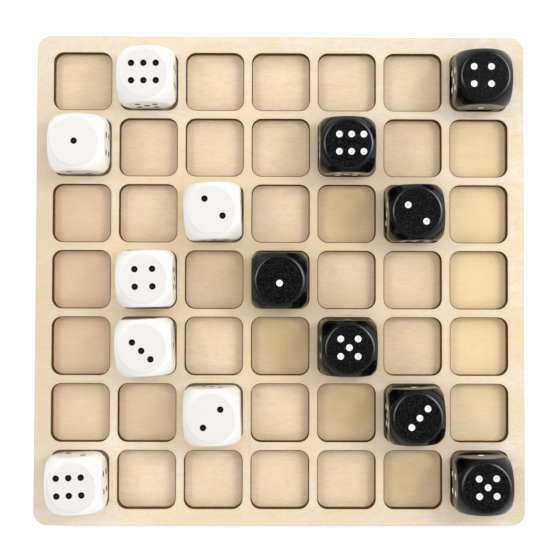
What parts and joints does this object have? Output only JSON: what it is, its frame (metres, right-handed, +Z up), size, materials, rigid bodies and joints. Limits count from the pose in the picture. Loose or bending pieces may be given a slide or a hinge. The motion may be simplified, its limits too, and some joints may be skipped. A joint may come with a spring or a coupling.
{
  "type": "dice checkers game",
  "caption": "Flat square plywood board with a grid of rounded windows over a solid floor sheet, and loose ball-rounded dice that stand in its cells as playing pieces.",
  "frame": {"origin": "centre of the board's underside, on the table", "axes": "+Z up, +X to the right of the board and +Y to its far side as the picture shows it"},
  "size_m": [0.143, 0.143, 0.019],
  "materials": {
    "base_plywood": "sanded birch plywood, unvarnished",
    "grid_plywood": "sanded birch plywood with laser-burnt edges, unvarnished",
    "white_plastic": "polished opaque white with black pips",
    "black_plastic": "polished opaque black with white pips"
  },
  "bodies": {
    "board": {"base_board": "base_plywood", "grid_board": "grid_plywood"},
    "white_die_1": {"white_die_1": "white_plastic"},
    "white_die_2": {"white_die_2": "white_plastic"},
    "white_die_3": {"white_die_3": "white_plastic"},
    "white_die_4": {"white_die_4": "white_plastic"},
    "white_die_5": {"white_die_5": "white_plastic"},
    "white_die_6": {"white_die_6": "white_plastic"},
    "white_die_7": {"white_die_7": "white_plastic"},
    "black_die_1": {"black_die_1": "black_plastic"},
    "black_die_2": {"black_die_2": "black_plastic"},
    "black_die_3": {"black_die_3": "black_plastic"},
    "black_die_4": {"black_die_4": "black_plastic"},
    "black_die_5": {"black_die_5": "black_plastic"},
    "black_die_6": {"black_die_6": "black_plastic"},
    "black_die_7": {"black_die_7": "black_plastic"}
  },
  "joints": [
    {"name": "white_die_1_lift", "type": "slide", "parent": "board", "child": "white_die_1", "axis": [0, 0, 1], "range_m": [0, 0.02]},
    {"name": "white_die_2_lift", "type": "slide", "parent": "board", "child": "white_die_2", "axis": [0, 0, 1], "range_m": [0, 0.02]},
    {"name": "white_die_3_lift", "type": "slide", "parent": "board", "child": "white_die_3", "axis": [0, 0, 1], "range_m": [0, 0.02]},
    {"name": "white_die_4_lift", "type": "slide", "parent": "board", "child": "white_die_4", "axis": [0, 0, 1], "range_m": [0, 0.02]},
    {"name": "white_die_5_lift", "type": "slide", "parent": "board", "child": "white_die_5", "axis": [0, 0, 1], "range_m": [0, 0.02]},
    {"name": "white_die_6_lift", "type": "slide", "parent": "board", "child": "white_die_6", "axis": [0, 0, 1], "range_m": [0, 0.02]},
    {"name": "white_die_7_lift", "type": "slide", "parent": "board", "child": "white_die_7", "axis": [0, 0, 1], "range_m": [0, 0.02]},
    {"name": "black_die_1_lift", "type": "slide", "parent": "board", "child": "black_die_1", "axis": [0, 0, 1], "range_m": [0, 0.02]},
    {"name": "black_die_2_lift", "type": "slide", "parent": "board", "child": "black_die_2", "axis": [0, 0, 1], "range_m": [0, 0.02]},
    {"name": "black_die_3_lift", "type": "slide", "parent": "board", "child": "black_die_3", "axis": [0, 0, 1], "range_m": [0, 0.02]},
    {"name": "black_die_4_lift", "type": "slide", "parent": "board", "child": "black_die_4", "axis": [0, 0, 1], "range_m": [0, 0.02]},
    {"name": "black_die_5_lift", "type": "slide", "parent": "board", "child": "black_die_5", "axis": [0, 0, 1], "range_m": [0, 0.02]},
    {"name": "black_die_6_lift", "type": "slide", "parent": "board", "child": "black_die_6", "axis": [0, 0, 1], "range_m": [0, 0.02]},
    {"name": "black_die_7_lift", "type": "slide", "parent": "board", "child": "black_die_7", "axis": [0, 0, 1], "range_m": [0, 0.02]}
  ]
}
